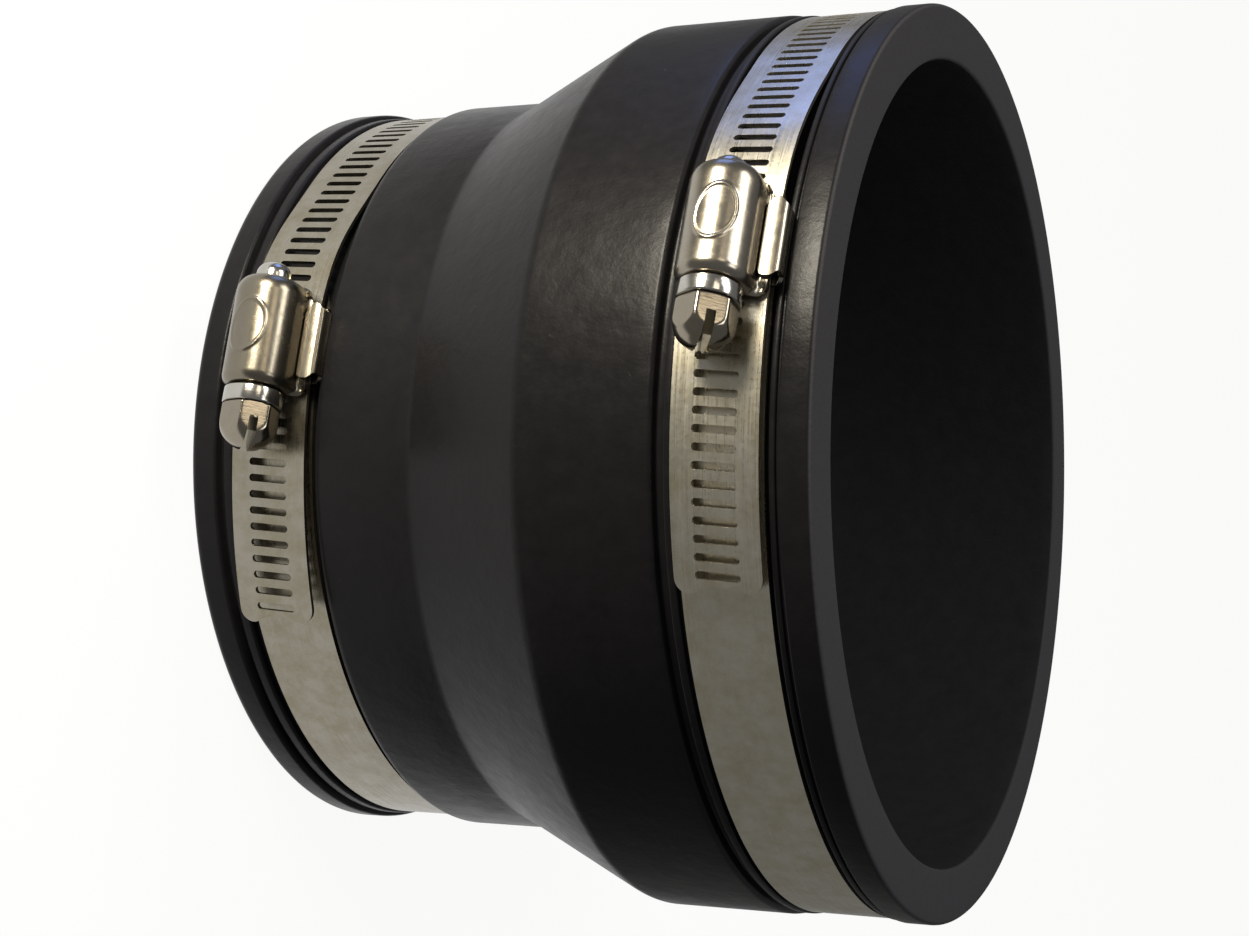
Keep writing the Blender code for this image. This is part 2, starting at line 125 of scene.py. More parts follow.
tone = add_node(
    tree,
    "Mix",
    {0: fade.outputs[0], 6: to_linear(PAPER), 7: to_linear(PAPER_FAR)},
    data_type="RGBA",
)
rays = add_node(tree, "LightPath")
seen = add_node(
    tree, "Math", {0: rays.outputs["Is Camera Ray"], 1: rays.outputs["Is Glossy Ray"]}, operation="ADD"
)
seen = add_node(
    tree,
    "Math",
    {0: seen.outputs[0], 1: rays.outputs["Is Transmission Ray"]},
    operation="ADD",
    use_clamp=True,
)
glow = add_node(tree, "Emission", {"Color": tone.outputs[2], "Strength": seen.outputs[0]})
soak = add_node(
    tree, "MixRGB", {0: 1.0, 1: tone.outputs[2], 2: to_linear(PAPER_IN_SHADE)}, blend_type="MULTIPLY"
)
matt = add_node(tree, "BsdfDiffuse", {"Color": soak.outputs[0]})
both = add_node(tree, "AddShader", {0: glow.outputs[0], 1: matt.outputs[0]})
add_node(tree, "OutputMaterial", {"Surface": both.outputs[0]})
half = FLOOR_SIZE / 2
sheet = bpy.data.meshes.new("floor")
sheet.from_pydata(
    [(-half, -half, 0), (half, -half, 0), (half, half, 0), (-half, half, 0)], [], [(0, 1, 2, 3)]
)
sheet.materials.append(paper)
floor = bpy.data.objects.new("floor", sheet)
bpy.context.scene.collection.objects.link(floor)

# The light: one large soft box overhead, a warm and a cool soft box low on the picture's upper side,
# which draw the long soft lines on the rubber, a top light for the edges that face the large end, a
# warm card in front of the hexagons, and an even grey room.
SOFT_BOXES = (
    # name, centre, aimed at, width, height, watts, colour
    ("overhead", (0.06, -0.40, 0.72), (0.0, 0.0, 0.06), 0.24, 0.36, 2.4, "#FFFDF8"),
    ("top", (0.20, -0.06, 0.70), (0.05, 0.0, 0.09), 0.22, 0.22, 0.6, "#FFFFFF"),
    ("warm_low", (0.215, -0.200, 0.060), (0.05, -0.02, 0.075), 0.085, 0.07, 1.4, "#FFF6E2"),
    ("cool_low", (-0.020, -0.270, 0.060), (-0.01, -0.04, 0.07), 0.14, 0.10, 0.09, "#7F9EF5"),
    ("warm_card", (0.292, -0.262, 0.375), (0.07, -0.03, 0.06), 0.12, 0.12, 0.13, "#FFF1DA"),
)
for name, centre, target, wide, high, watts, colour in SOFT_BOXES:
    lamp = bpy.data.lights.new(name, "AREA")
    lamp.shape = "RECTANGLE"
    lamp.size, lamp.size_y = wide, high
    lamp.energy = watts
    lamp.color = to_linear(colour)[:3]
    box = bpy.data.objects.new(name, lamp)
    box.location = centre
    box.rotation_euler = (Vector(target) - Vector(centre)).to_track_quat("-Z", "Y").to_euler()
    box.visible_camera = False
    bpy.context.scene.collection.objects.link(box)
room = bpy.data.worlds.new("even_grey_room")
room.use_nodes = True
room.node_tree.nodes["Background"].inputs["Color"].default_value = to_linear("#7A7A7C")
room.node_tree.nodes["Background"].inputs["Strength"].default_value = 1.0
bpy.context.scene.world = room

# The rubber body: one moulding of black synthetic rubber, a wide and a narrow sleeve joined by a
# cone. Ridges beside each band seat keep the clamps in place. It comes from a two-part mould.
LENGTH = 109.0
LARGE_RADIUS, LARGE_BORE = 75.5, 66.5
SMALL_RADIUS, SMALL_BORE = 64.3, 56.0
CONE_TOP, CONE_FOOT, BORE_CONE_SHIFT = 63.6, 40.2, 1.5
LARGE_SEAT, SMALL_SEAT = 74.0, 62.2
LARGE_BAND_Z, SMALL_BAND_Z = 95.5, 15.6
BAND_WIDTH = 13.2
SEAT_PLAY, SMALL_SEAT_PLAY = 0.7, 1.2
RIDGE_HIGH, RIDGE_WIDE, RIDGE_ROUND = 1.2, 1.2, 0.35
SMALL_RIDGE_HIGH, SMALL_RIDGE_WIDE = 1.3, 2.1
STEP_DEEP, STEP_WIDE, GROOVE_ROUND = 0.8, 0.9, 0.12
RUBBER_TURN_STEPS = 288
rubber_low, rubber_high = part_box("rubber_body")
AXIS = 500 * np.array([rubber_low[0] + rubber_high[0], rubber_low[1] + rubber_high[1]])


def rounded_outline(corners, arc_step, longest):
    """Closed outline through (x, y, radius) corners.

    Each corner becomes an arc that touches both sides: its ends lie radius / tan(half angle) from the
    corner, and its points swing evenly about the centre. Long sides are split into equal lengths.
    """
    spots = np.array([c[:2] for c in corners], float)
    to_last = np.roll(spots, 1, 0) - spots
    to_next = np.roll(spots, -1, 0) - spots
    to_last /= np.linalg.norm(to_last, axis=1, keepdims=True)
    to_next /= np.linalg.norm(to_next, axis=1, keepdims=True)
    outline = []
    for spot, last, following, (_, _, radius) in zip(spots, to_last, to_next, corners):
        half = np.arccos(np.clip(last @ following, -1, 1)) / 2
        if radius == 0:
            outline.append(spot[None])
            continue
        middle = spot + (last + following) / np.linalg.norm(last + following) * radius / np.sin(half)
        start = spot + last * radius / np.tan(half) - middle
        stop = spot + following * radius / np.tan(half) - middle
        swing = np.arctan2(start[0] * stop[1] - start[1] * stop[0], start @ stop)
        turn = swing * np.linspace(0, 1, int(np.ceil(abs(swing) * radius / arc_step)) + 2)
        cos, sin = np.cos(turn)[:, None], np.sin(turn)[:, None]
        outline.append(middle + start * cos + np.array([-start[1], start[0]]) * sin)
    outline = np.concatenate(outline)
    filled = []
    for here, there in zip(outline, np.roll(outline, -1, 0)):
        parts = int(np.ceil(np.linalg.norm(there - here) / longest))
        filled.append(here + (there - here) * (np.arange(parts) / parts)[:, None])
    return np.concatenate(filled)


def grid_quads(rows, columns):
    """Four-cornered faces between the neighbouring points of a rows x columns grid."""
    row, column = np.meshgrid(np.arange(rows - 1), np.arange(columns - 1), indexing="ij")
    corner = (row * columns + column).ravel()
    return np.stack([corner, corner + 1, corner + columns + 1, corner + columns], 1)


def surface(name, points, quads, flat=None, place=np.eye(4), weld=0.002):
    """Mesh object from points in millimetres, moved by place; flat gives each point its own UV.

    Points nearer than weld are merged, which closes seams and poles, and then the faces are turned
    outward.
    """
    points = np.asarray(points, float).reshape(-1, 3)
    points = (points @ place[:3, :3].T + place[:3, 3]) / 1000
    mesh = bpy.data.meshes.new(name)
    mesh.from_pydata(points.tolist(), [], quads.tolist())
    if flat is not None:
        order = np.empty(len(mesh.loops), np.int32)
        mesh.loops.foreach_get("vertex_index", order)
        uv = mesh.uv_layers.new(name="millimetres")
        uv.data.foreach_set("uv", np.asarray(flat, np.float32).reshape(-1, 2)[order].ravel())
    work = bmesh.new()
    work.from_mesh(mesh)
    bmesh.ops.remove_doubles(work, verts=work.verts, dist=weld / 1000)
    bmesh.ops.recalc_face_normals(work, faces=work.faces)
    for face in work.faces:
        face.smooth = True
    work.to_mesh(mesh)
    work.free()
    made = bpy.data.objects.new(name, mesh)
    bpy.context.scene.collection.objects.link(made)
    return made


def revolved(outline, steps):
    """The closed (radius, height) outline turned about Z: x = r cos a, y = r sin a for each angle a."""
    outline = np.concatenate([outline, outline[:1]])
    turn = np.linspace(0, 2 * np.pi, steps + 1)
    radius, height = outline.T
    points = np.stack(
        np.broadcast_arrays(
            radius[:, None] * np.cos(turn), radius[:, None] * np.sin(turn), height[:, None]
        ),
        -1,
    )
    return points, grid_quads(len(outline), steps + 1)


band_half = BAND_WIDTH / 2
large_high, large_low = LARGE_BAND_Z + band_half + SEAT_PLAY, LARGE_BAND_Z - band_half - SEAT_PLAY
small_high, small_low = SMALL_BAND_Z + band_half + SEAT_PLAY, SMALL_BAND_Z - band_half - SMALL_SEAT_PLAY
# Corners of the moulding's section from the large face inward: radius, height, rounding
section = [
    (LARGE_BORE, LENGTH, 0.6),
    (LARGE_RADIUS, LENGTH, 0.8),
    (LARGE_RADIUS, large_high + 1.5, RIDGE_ROUND),
    (LARGE_RADIUS - STEP_DEEP, large_high + 1.35, GROOVE_ROUND),
    (LARGE_RADIUS - STEP_DEEP, large_high + 0.98, GROOVE_ROUND),
    (LARGE_SEAT + RIDGE_HIGH, large_high + STEP_WIDE, 0.3),
    (LARGE_SEAT + RIDGE_HIGH, large_high, 0.3),
    (LARGE_SEAT, large_high, 0.25),
    (LARGE_SEAT, large_low, 0.25),
    (LARGE_SEAT + RIDGE_HIGH, large_low, RIDGE_ROUND),
    (LARGE_SEAT + RIDGE_HIGH, large_low - RIDGE_WIDE, RIDGE_ROUND),
    (LARGE_SEAT - 0.2, large_low - 1.5, RIDGE_ROUND),
    (LARGE_SEAT - 0.2, large_low - 2.7, RIDGE_ROUND),
    (LARGE_RADIUS, large_low - 3.0, 0.9),
    (LARGE_RADIUS, CONE_TOP, 4.0),
    (SMALL_RADIUS, CONE_FOOT, 3.0),
    (SMALL_RADIUS, small_high, 1.6),
    (SMALL_SEAT, small_high, 0.25),
    (SMALL_SEAT, small_low, 0.25),
    (SMALL_SEAT + SMALL_RIDGE_HIGH, small_low, 0.6),
    (SMALL_SEAT + SMALL_RIDGE_HIGH, small_low - SMALL_RIDGE_WIDE, 0.6),
    (SMALL_SEAT + 0.4, small_low - 2.25, GROOVE_ROUND),
    (SMALL_SEAT + 0.4, small_low - 2.65, GROOVE_ROUND),
    (SMALL_RADIUS, small_low - 2.9, 0.6),
    (SMALL_RADIUS, 0, 1.6),
    (SMALL_BORE, 0, 0.7),
    (SMALL_BORE, CONE_FOOT - BORE_CONE_SHIFT, 2.5),
    (LARGE_BORE, CONE_TOP - BORE_CONE_SHIFT, 2.5),
]
body_place = np.eye(4)
body_place[:2, 3] = AXIS
points, quads = revolved(rounded_outline(section, 0.28, 2.5), RUBBER_TURN_STEPS)
body = surface("coupling_rubber", points, quads, place=body_place)

# Synthetic rubber, compression moulded: near-black and satin where the polished mould touched it, so soft
# lamps draw broad dull lines, painted a little greyer in the bore as painted light standing in for the
# light that falls into it, and matt charcoal grey on the trimmed end faces. Its bloom keeps the sheen low.
# Pattern sizes are in millimetres.
FLOW, CLOUD, DUST, GRAIN = 14.3, 3.03, 1.92, 0.4545
rubber = bpy.data.materials.new("moulded_black_rubber")
rubber.use_nodes = True
tree = rubber.node_tree
shader = tree.nodes["Principled BSDF"]
place = add_node(tree, "TexCoord").outputs["Object"]
flow = add_node(
    tree, "TexNoise", {"Vector": place, "Scale": 1000 / FLOW, "Detail": 4.0, "Roughness": 0.6}
).outputs["Fac"]
cloud = add_node(
    tree, "TexNoise", {"Vector": place, "Scale": 1000 / CLOUD, "Detail": 5.0, "Roughness": 0.65}
).outputs["Fac"]
grain = add_node(
    tree, "TexNoise", {"Vector": place, "Scale": 1000 / GRAIN, "Detail": 2.0, "Roughness": 0.5}
).outputs["Fac"]
parts = add_node(tree, "SeparateXYZ", {0: place})
from_axis = add_node(
    tree, "VectorMath", {0: place, 1: (*(AXIS / 1000), 0.0)}, operation="SUBTRACT"
).outputs[0]
from_axis = add_node(
    tree, "VectorMath", {0: from_axis, 1: (1.0, 1.0, 0.0)}, operation="MULTIPLY"
).outputs[0]
radius = add_node(tree, "VectorMath", {0: from_axis}, operation="LENGTH").outputs["Value"]
mid_wall = add_node(
    tree,
    "MapRange",
    {
        "Value": parts.outputs["Z"],
        "From Min": 0.038,
        "From Max": 0.064,
        "To Min": 0.0598,
        "To Max": 0.07,
    },
).outputs[0]
into_bore = add_node(tree, "Math", {0: mid_wall, 1: radius}, operation="SUBTRACT").outputs[0]
bore = add_node(
    tree, "MapRange", {"Value": into_bore, "From Min": 0.0, "From Max": 0.0012}
).outputs[0]
end_face = add_node(
    tree,
    "MapRange",
    {"Value": parts.outputs["Z"], "From Min": 0.1085, "From Max": 0.10895},
    interpolation_type="SMOOTHSTEP",
).outputs[0]
skin = add_node(
    tree,
    "Mix",
    {0: cloud, 6: to_linear("#101011"), 7: to_linear("#1A191B")},
    data_type="RGBA",
).outputs[2]
trimmed = add_node(
    tree,
    "Mix",
    {0: grain, 6: to_linear("#343335"), 7: to_linear("#403F41")},
    data_type="RGBA",
).outputs[2]
# The bore's lighter greys are painted light, standing in for the light that falls into the bore
bore_painted_light = add_node(
    tree,
    "Mix",
    {0: cloud, 6: to_linear("#29282A"), 7: to_linear("#353436")},
    data_type="RGBA",
).outputs[2]
skin = add_node(tree, "Mix", {0: bore, 6: skin, 7: bore_painted_light}, data_type="RGBA").outputs[2]
dust_field = add_node(
    tree, "TexNoise", {"Vector": place, "Scale": 1000 / DUST, "Detail": 3.0, "Roughness": 0.7}
).outputs["Fac"]
dust = add_node(
    tree,
    "MapRange",
    {"Value": dust_field, "From Min": 0.74, "From Max": 0.80, "To Min": 0.0, "To Max": 0.5},
).outputs[0]
dusty = add_node(
    tree, "Mix", {0: dust, 6: skin, 7: to_linear("#4A4A48")}, data_type="RGBA"
).outputs[2]
colour = add_node(tree, "Mix", {0: end_face, 6: dusty, 7: trimmed}, data_type="RGBA").outputs[2]
tree.links.new(colour, shader.inputs["Base Color"])
satin = add_node(
    tree, "MapRange", {"Value": cloud, "From Min": 0.3, "From Max": 0.7, "To Min": 0.31, "To Max": 0.38}
).outputs[0]
matt_end = add_node(
    tree, "MapRange", {"Value": end_face, "To Min": 0.0, "To Max": 0.4}
).outputs[0]
rough = add_node(tree, "Math", {0: satin, 1: matt_end}, operation="ADD").outputs[0]
tree.links.new(rough, shader.inputs["Roughness"])
shader.inputs["IOR"].default_value = 1.5
shader.inputs["Specular IOR Level"].default_value = 0.12
wave = add_node(
    tree, "Bump", {"Height": flow, "Strength": 0.5, "Distance": 0.0006}
).outputs["Normal"]
skin_bump = add_node(
    tree, "Bump", {"Height": grain, "Strength": 0.35, "Distance": 0.00006, "Normal": wave}
).outputs["Normal"]
tree.links.new(skin_bump, shader.inputs["Normal"])
body.data.materials.append(rubber)
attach(body, "coupling")
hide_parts("rubber_body")

# The clamp bands: strips of rolled stainless steel, 13.2 mm wide, punched with a row of leaning
# slots for the worm. The inner end is tucked under the saddle, the free tail runs out over it.
BAND_THICK = 0.65
BAND_FIT = 0.3
LAYER_GAP = 0.25
SADDLE_THICK = 0.7
SADDLE_LENGTH = 12.6
FIXED_END = 3.0
RISE_SPAN, RISE_END, SPRING_START = np.radians([21, -10, 9])
SLOT_PITCH, SLOT_LENGTH, SLOT_WIDTH = 2.54, 6.8, 1.15
SLOT_LEAN = np.radians(4.5)
FIRST_SLOT = 2.8
TAIL_LOBE, TAIL_CORNER, TAIL_STRAIGHT, TAIL_TRIM = 0.9, 2.2, 1.6, 0.3
END_TAPER = 0.12
WORM_RADIUS, WORM_FIT = 3.9, 0.3
# Each clamp's seat, its tail's angle past the head and how far the tail springs away, its number of
# slots, the screw's turn, the stamp's place round the crown, and the screw's length to its tip
CLAMPS = (
    dict(
        name="large",
        seat=LARGE_SEAT,
        tail=np.radians(37.5),
        spring=0.1,
        slots=52,
        hex_turn=-34.0,
        stamp=1.1,
        tip=11.3,
    ),
    dict(
        name="small",
        seat=SMALL_SEAT,
        tail=np.radians(39),
        spring=2.0,
        slots=44,
        hex_turn=-43.5,
        stamp=0.1,
        tip=12.2,
    ),
)
for clamp, joint in zip(CLAMPS, frame["joints"]):
    # The head's own axes: X outward through the worm, Y along the worm, Z up the bore
    along = np.array(joint["axis"], float)
    clamp["place"] = np.eye(4)
    clamp["place"][:3, 0] = (along[1], -along[0], 0)
    clamp["place"][:3, 1] = along
    clamp["place"][:3, 3] = (*AXIS, 1000 * joint["pos_m"][2])
    ring = clamp["seat"] + BAND_FIT
    clamp["ring"] = ring
    clamp["saddle_floor"] = ring + BAND_THICK + LAYER_GAP
    clamp["high"] = np.hypot(clamp["saddle_floor"] + SADDLE_THICK, SADDLE_LENGTH / 2) + LAYER_GAP
    clamp["flange"] = clamp["high"] + BAND_THICK + LAYER_GAP
    clamp["worm"] = clamp["high"] + BAND_THICK + WORM_FIT + WORM_RADIUS


def band_line(clamp):
    """Angle, inner radius and length run along the band's inner face, from the tucked end to the tail.

    The radius is the ring's, rises by half a cosine wave over the saddle, and grows with the square
    of the angle past the head where the tail springs away.
    """
    turn = 2 * np.pi
    start = -np.arctan((SADDLE_LENGTH / 2 + FIXED_END) / clamp["ring"])
    angle = np.linspace(start, turn + clamp["tail"], 4001)
    lift = np.clip((angle - (turn + RISE_END - RISE_SPAN)) / RISE_SPAN, 0, 1)
    radius = clamp["ring"] + (clamp["high"] - clamp["ring"]) * (1 - np.cos(np.pi * lift)) / 2
    past = np.maximum(angle - turn - SPRING_START, 0)
    radius += clamp["spring"] * (past / (clamp["tail"] - SPRING_START)) ** 2
    x, y = radius * np.cos(angle), radius * np.sin(angle)
    run = np.concatenate([[0], np.cumsum(np.hypot(np.diff(x), np.diff(y)))])
    return angle, radius, run


def on_band(line, back, across):
    """Points of the flat strip on the line: back is the way from the tail, across from its middle."""
    angle, radius, run = line
    turn = np.interp(run[-1] - back, run, angle)
    reach = np.interp(run[-1] - back, run, radius)
    return np.stack([reach * np.cos(turn), reach * np.sin(turn), across], -1)


def strip(clamp):
    """The flat strip's (back, across) points and quads.

    Each slot sits in its own cell, a ring of quads that blends the slot's outline into the cell's.
    The first cell ends in the tail's wavy outline, and a plain grid carries on behind the last slot.
    """
    sides, ends = 22, 5
    half_wide, half_pitch = BAND_WIDTH / 2, SLOT_PITCH / 2
    level = np.linspace(-1, 1, sides + 1)
    level = half_wide * (0.55 * level + 0.45 * level**3)
    edge = np.linspace(-half_pitch, half_pitch, ends + 1)
    cell = np.concatenate(
        [
            np.stack([np.full(sides, half_pitch), level[:-1]], 1),
            np.stack([edge[:0:-1], np.full(ends, half_wide)], 1),
            np.stack([np.full(sides, -half_pitch), level[:0:-1]], 1),
            np.stack([edge[:-1], np.full(ends, -half_wide)], 1),
        ]
    )
    reach, round_end = SLOT_LENGTH / 2 - SLOT_WIDTH / 2, SLOT_WIDTH / 2
    long_side = sides - 6
    row = np.linspace(-reach, reach, long_side + 1)
    arc = np.linspace(0, np.pi, ends + 6 + 1)[1:-1]
    slot = np.concatenate(
        [
            np.stack([np.full(long_side + 1, round_end), row], 1),
            np.stack([round_end * np.cos(arc), reach + round_end * np.sin(arc)], 1),
            np.stack([np.full(long_side + 1, -round_end), row[::-1]], 1),
            np.stack([-round_end * np.cos(arc), -reach - round_end * np.sin(arc)], 1),
        ]
    )
    slot = np.roll(slot, 3, 0)
    lean = np.array([[np.cos(SLOT_LEAN), -np.sin(SLOT_LEAN)], [np.sin(SLOT_LEAN), np.cos(SLOT_LEAN)]])
    slot = slot @ lean.T
    blend = np.array([0.0, 0.12, 0.45, 1.0])[:, None, None]
    cells = slot * (1 - blend) + cell * blend
    centres = FIRST_SLOT + SLOT_PITCH * np.arange(clamp["slots"])
    cells = cells[None] + np.stack([centres, 0 * centres], 1)[:, None, None, :]
    # The tail's outline, from the cell's back corner round the end to its other back corner
    far = half_wide - TAIL_CORNER
    swing = np.linspace(0, np.pi / 2, 9)
    lobe = np.linspace(far, TAIL_STRAIGHT, 9)[1:]
    dip = TAIL_LOBE * (1 - np.cos(np.pi * (far - lobe) / (far - TAIL_STRAIGHT))) / 2
    half_end = np.concatenate(
        [
            [(FIRST_SLOT + half_pitch, half_wide)],
            np.stack([TAIL_CORNER * (1 - np.sin(swing)), far + TAIL_CORNER * np.cos(swing)], 1),
            np.stack([dip, lobe], 1),
        ]
    )
    tail = np.concatenate([half_end, half_end[::-1] * (1, -1)])
    length = np.concatenate([[0], np.cumsum(np.hypot(*np.diff(tail, axis=0).T))])
    spots = np.linspace(0, length[-1], sides + 2 * ends + 1)
    tail = np.stack([np.interp(spots, length, tail[:, i]) for i in (0, 1)], 1)
    first = np.roll(cells[0, -1], -sides, 0)
    first[: sides + 2 * ends + 1] = tail + (TAIL_TRIM, 0)
    first = np.roll(first, sides, 0)
    cells[0] = cells[0, 0] * (1 - blend) + first * blend
    around = cells.shape[2]
    cells = np.concatenate([cells, cells[:, :, :1]], 2)
    quads = grid_quads(4, around + 1)
    quads = (quads[None] + 4 * (around + 1) * np.arange(clamp["slots"])[:, None, None]).reshape(-1, 4)
    run = clamp["line"][2][-1]
    start = FIRST_SLOT + SLOT_PITCH * (clamp["slots"] - 0.5)
    back = np.linspace(start, run, int((run - start) / 1.9) + 1)
    taper = np.clip((back - run + FIXED_END) / FIXED_END, 0, 1)
    plain = np.stack(np.broadcast_arrays(back[:, None], level * (1 - END_TAPER * taper**2)[:, None]), -1)
    quads = np.concatenate([quads, grid_quads(len(back), sides + 1) + cells[..., 0].size])
    return np.concatenate([cells.reshape(-1, 2), plain.reshape(-1, 2)]), quads


def finished(piece, thickness, outward, edge, segments=2, even=True):
    """Gives a sheet its thickness, outward or inward from the drawn face, and breaks its edges.

    An even wall keeps its thickness at every bend; where bends are tight, it would shoot out there.
    """
    if thickness:
        wall = piece.modifiers.new("thickness", "SOLIDIFY")
        wall.thickness = thickness / 1000
        wall.offset = 1 if outward else -1
        wall.use_even_offset = even
    wear_and_shade = piece.modifiers.new("broken_edges", "BEVEL")
    wear_and_shade.width = edge / 1000
    wear_and_shade.segments = segments
    wear_and_shade.limit_method = "ANGLE"
    wear_and_shade.angle_limit = np.radians(50)
    wear_and_shade.harden_normals = True


def darkened_copy(metal, name, light, dark):
    """A copy of a metal with its two mixed colours changed, for the same steel painted darker as painted
    shade.
    """
    copy = metal.copy()
    copy.name = name
    for node in copy.node_tree.nodes:
        if node.bl_idname == "ShaderNodeMix":
            node.inputs[6].default_value = to_linear(light)
            node.inputs[7].default_value = to_linear(dark)
    return copy


# Austenitic stainless strip, cold rolled: satin and a little warm, with fine grain along its length
# and dull mottling from handling. The grain is drawn 0.25 mm wide, coarser than life, to show.
GRAIN_LONG, GRAIN_WIDE, STRIP_MOTTLE, STRIP_PEPPER = 20.0, 0.25, 4.167, 0.6667
strip_steel = bpy.data.materials.new("rolled_stainless_strip")
strip_steel.use_nodes = True
tree = strip_steel.node_tree
shader = tree.nodes["Principled BSDF"]
flat = add_node(tree, "UVMap", uv_map="millimetres").outputs[0]
place = add_node(tree, "TexCoord").outputs["Object"]
stretched = add_node(
    tree, "Mapping", {"Vector": flat, "Scale": (1 / GRAIN_LONG, 1 / GRAIN_WIDE, 1.0)}
).outputs[0]
grain = add_node(
    tree, "TexNoise", {"Vector": stretched, "Scale": 1.0, "Detail": 3.0, "Roughness": 0.6}
).outputs["Fac"]
mottle = add_node(
    tree, "TexNoise", {"Vector": place, "Scale": 1000 / STRIP_MOTTLE, "Detail": 5.0, "Roughness": 0.7}
).outputs["Fac"]
pepper = add_node(
    tree, "TexNoise", {"Vector": place, "Scale": 1000 / STRIP_PEPPER, "Detail": 2.0, "Roughness": 0.6}
).outputs["Fac"]
patch = add_node(
    tree, "MapRange", {"Value": mottle, "From Min": 0.38, "From Max": 0.66}
).outputs[0]
colour = add_node(
    tree, "Mix", {0: patch, 6: to_linear("#CFCABD"), 7: to_linear("#BFB7A1")}, data_type="RGBA"
).outputs[2]
tree.links.new(colour, shader.inputs["Base Color"])
streak = add_node(
    tree, "MapRange", {"Value": grain, "From Min": 0.3, "From Max": 0.7, "To Min": 0.24, "To Max": 0.38}
).outputs[0]
speck = add_node(
    tree,
    "MapRange",
    {"Value": pepper, "From Min": 0.3, "From Max": 0.7, "To Min": -0.02, "To Max": 0.03},
).outputs[0]
rough = add_node(tree, "Math", {0: streak, 1: speck}, operation="ADD").outputs[0]
tree.links.new(rough, shader.inputs["Roughness"])
lines = add_node(
    tree, "Bump", {"Height": grain, "Strength": 0.3, "Distance": 0.00002}
).outputs["Normal"]
dents = add_node(
    tree, "Bump", {"Height": mottle, "Strength": 0.2, "Distance": 0.0001, "Normal": lines}
).outputs["Normal"]
tree.links.new(dents, shader.inputs["Normal"])
shader.inputs["Metallic"].default_value = 1.0
# The small end's band is the same strip painted darker: painted shade that holds down the glare of the
# bright floor it faces
shaded_strip = darkened_copy(strip_steel, "painted_shade_stainless_strip", "#948F83", "#857E6C")
for clamp, steel in zip(CLAMPS, (strip_steel, shaded_strip)):
    clamp["line"] = band_line(clamp)
    flat_points, quads = strip(clamp)
    points = on_band(clamp["line"], flat_points[:, 0], flat_points[:, 1])
    band = surface(clamp["name"] + "_clamp_band", points, quads, flat_points, clamp["place"])
    finished(band, BAND_THICK, True, 0.18, 3)
    band.data.materials.append(steel)
    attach(band, "coupling")
    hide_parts(clamp["name"] + "_band")

# The saddles: each is a plate of pressed stainless under the band, whose two sides are folded up
# and over the housing's flanges to hold it down. A fold is given by its reach, lip and slack.
WIDE_FOLD, TIGHT_FOLD = (8.4, 5.55, 0.25), (7.5, 5.5, 0.0)
FOLD_RADIUS, LIP_CURVE = 1.05, 6.0
TIP_CORNER, HEX_CORNER, FOLD_BACK = 2.2, 0.8, 1.1
HOUSING_WALL = 0.8


def folded_side(clamp, reach, lip, slack):
    """Half of the plate's section: straight floor, quarter circle, short side, arc and curved lip.

    The lip is an arc of LIP_CURVE that lies flat at its free edge and runs on into the fold's arc.
    Also gives how far out on the fold each point lies, from 0 where it starts to 1 at its side.
    """
    floor, top = clamp["saddle_floor"], clamp["flange"] + HOUSING_WALL + slack + SADDLE_THICK
    ratio = FOLD_RADIUS / LIP_CURVE
    start = (reach - FOLD_RADIUS - ratio * lip) / (1 - ratio)
    lean = np.arcsin((start - lip) / LIP_CURVE)
    low, high = np.linspace(0, np.pi / 2, 10), np.linspace(np.pi / 2, lean, 10)
    lip_z = np.linspace(start, lip, 9)[1:]
    shoulder = top - LIP_CURVE * (1 - np.cos(lean))
    x = np.concatenate(
        [
            np.full(6, floor),
            floor + FOLD_RADIUS * (1 - np.cos(low)),
            shoulder - FOLD_RADIUS * (np.cos(lean) - np.cos(high)),
            top - LIP_CURVE + np.sqrt(LIP_CURVE**2 - (lip_z - lip) ** 2),
        ]
    )
    z = np.concatenate(
        [
            np.linspace(0, reach - FOLD_RADIUS, 7)[:-1],
            reach - FOLD_RADIUS * (1 - np.sin(low)),
            reach - FOLD_RADIUS * (1 - np.sin(high)),
            lip_z,
        ]
    )
    return x, z, np.clip(1 - (reach - z) / FOLD_RADIUS, 0, 1)


def saddle_sheet(clamp):
    """Outer face of the folded plate: its section in radius and height, carried along the worm.

    The plate is shorter along the worm at both folds, and near each free edge by a quarter circle,
    which rounds its corners, more at the tip's end than at the hexagon's.
    """
    wide, tight = folded_side(clamp, *WIDE_FOLD), folded_side(clamp, *TIGHT_FOLD)
    x, z, fold = (
        np.concatenate([one[:0:-1] * sign, other])
        for one, other, sign in zip(tight, wide, (1, -1, 1))
    )
    run = np.concatenate([[0], np.cumsum(np.hypot(np.diff(x), np.diff(z)))])
    to_edge = np.minimum(run, run[-1] - run)
    ends = []
    for corner in (TIP_CORNER, HEX_CORNER):
        into = np.clip(1 - to_edge / corner, 0, 1)
        ends.append(SADDLE_LENGTH / 2 - FOLD_BACK * fold - corner * (1 - np.sqrt(1 - into**2)))
    share = np.linspace(0, 1, 25)[:, None]
    along = share * ends[1] - (1 - share) * ends[0]
    x, z = np.broadcast_to(x, along.shape), np.broadcast_to(z, along.shape)
    return np.stack([x, along, z], -1), grid_quads(*x.shape)


